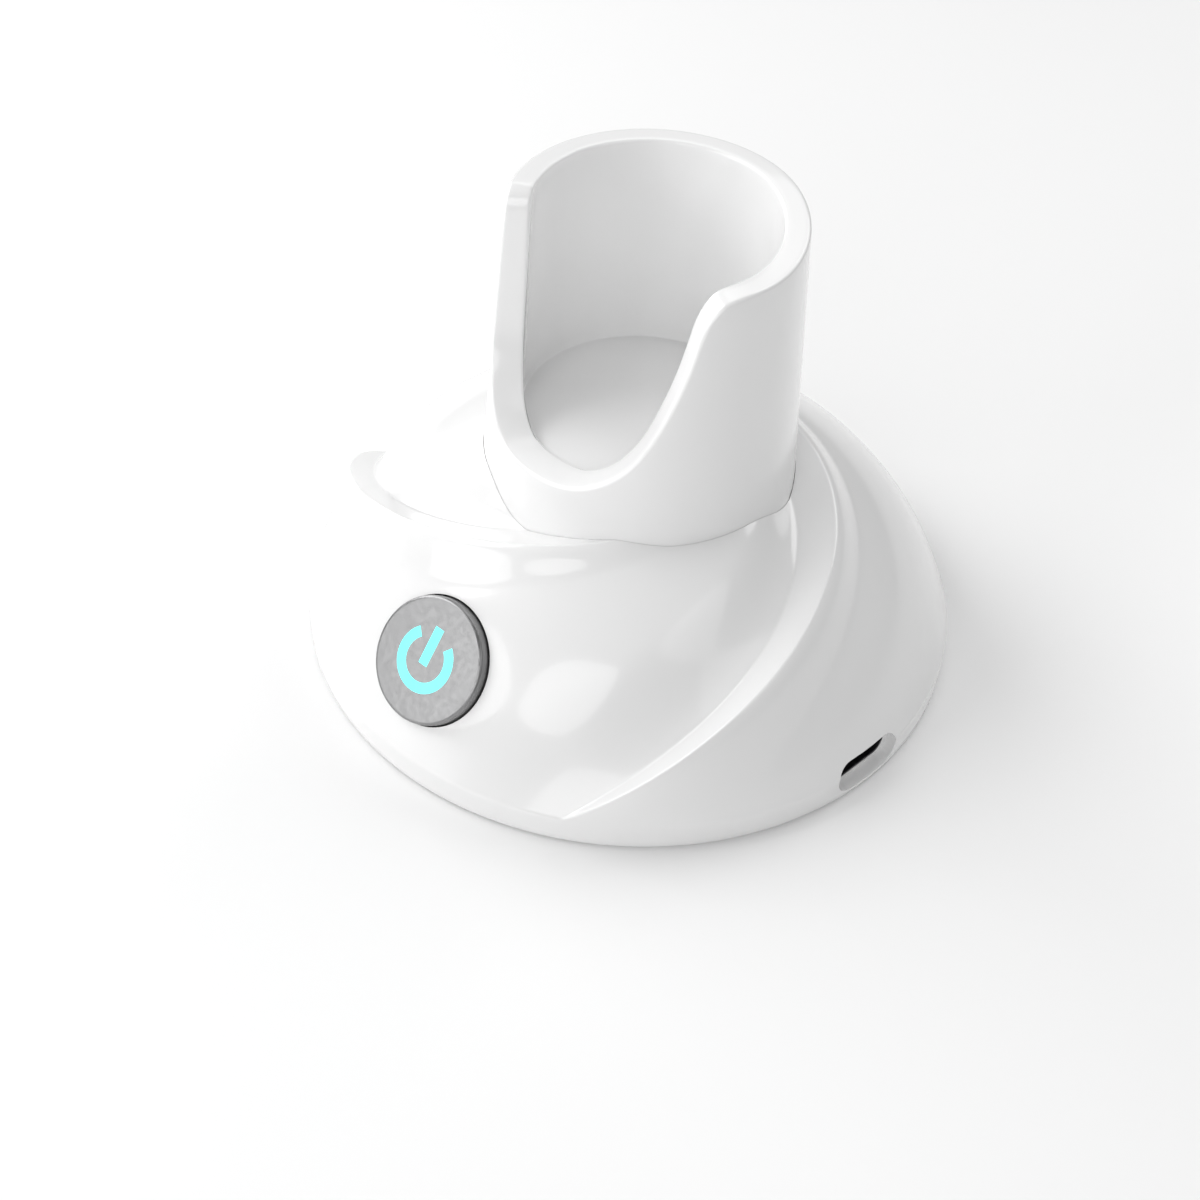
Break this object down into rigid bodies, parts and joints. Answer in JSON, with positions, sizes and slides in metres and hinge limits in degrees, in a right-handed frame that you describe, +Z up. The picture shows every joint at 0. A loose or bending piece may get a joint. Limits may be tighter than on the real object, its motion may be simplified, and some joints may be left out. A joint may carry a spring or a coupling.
{
  "type": "toothbrush charging stand",
  "caption": "Round charging stand for an electric toothbrush: domed base with swirl ridges, open-fronted cradle cup, lit power button and a USB-C port.",
  "frame": {"origin": "centre of the round footprint, on the table that the feet stand on", "axes": "+Z up along the cup's axis, -Y towards the power button and the open front of the cup, the USB-C port opens near +X"},
  "size_m": [0.086, 0.086, 0.0626],
  "materials": {
    "gloss_white": "gloss",
    "matt_white": "matte",
    "screw_steel": "bright zinc",
    "foot_rubber": "matte",
    "ballast_iron": "rough",
    "pad_foam": "matte",
    "satin_metal": "satin",
    "cyan_light": "lit from behind",
    "seal_rubber": "matte",
    "board_green": "solder mask",
    "led_lens": "gloss",
    "socket_ivory": "matte",
    "lead_sleeve": "satin",
    "black_plastic": "matte",
    "switch_plunger": "matte",
    "capacitor_film": "gloss",
    "ferrite_grey": "matte ceramic",
    "port_steel": "satin",
    "gold_contact": "polished",
    "coil_copper": "enamelled wire"
  },
  "bodies": {
    "stand": {"upper_housing": "gloss_white", "cradle_cup": "gloss_white", "base_plate": "matt_white", "base_screws": "screw_steel", "rubber_feet": "foot_rubber", "ballast_weight": "ballast_iron", "ballast_pad": "pad_foam", "button_seal": "seal_rubber", "button_board": "board_green", "button_board_screws": "screw_steel", "button_leds": "led_lens", "button_socket": "socket_ivory", "button_leads": "lead_sleeve", "tact_switch_body": "black_plastic", "main_board": "board_green", "main_board_screws": "screw_steel", "lead_sockets": "socket_ivory", "driver_chip": "black_plastic", "transistors": "black_plastic", "resonant_capacitors": "capacitor_film", "inductor": "ferrite_grey", "usb_c_shell": "port_steel", "usb_c_tongue": "black_plastic", "usb_c_contacts": "gold_contact", "charging_coil": "coil_copper", "ferrite_disc": "ferrite_grey", "coil_carrier": "matt_white", "coil_carrier_screws": "screw_steel", "coil_leads": "lead_sleeve", "cup_screws": "screw_steel"},
    "button": {"button_cap": "satin_metal", "button_light_guide": "cyan_light"},
    "switch_plunger": {"tact_switch_plunger": "switch_plunger"}
  },
  "joints": [
    {"name": "button_press", "type": "slide", "parent": "stand", "child": "button", "axis": [0, 0.7891, -0.6143], "range_m": [0, 0.0004], "stiffness_N_per_m": 3000, "springref_m": -0.0002},
    {"name": "switch_travel", "type": "slide", "parent": "stand", "child": "switch_plunger", "axis": [0, 0.7891, -0.6143], "range_m": [0, 0.0004]}
  ],
  "couplings": [
    {"joint": "switch_travel", "follows": "button_press", "ratio": 1}
  ]
}
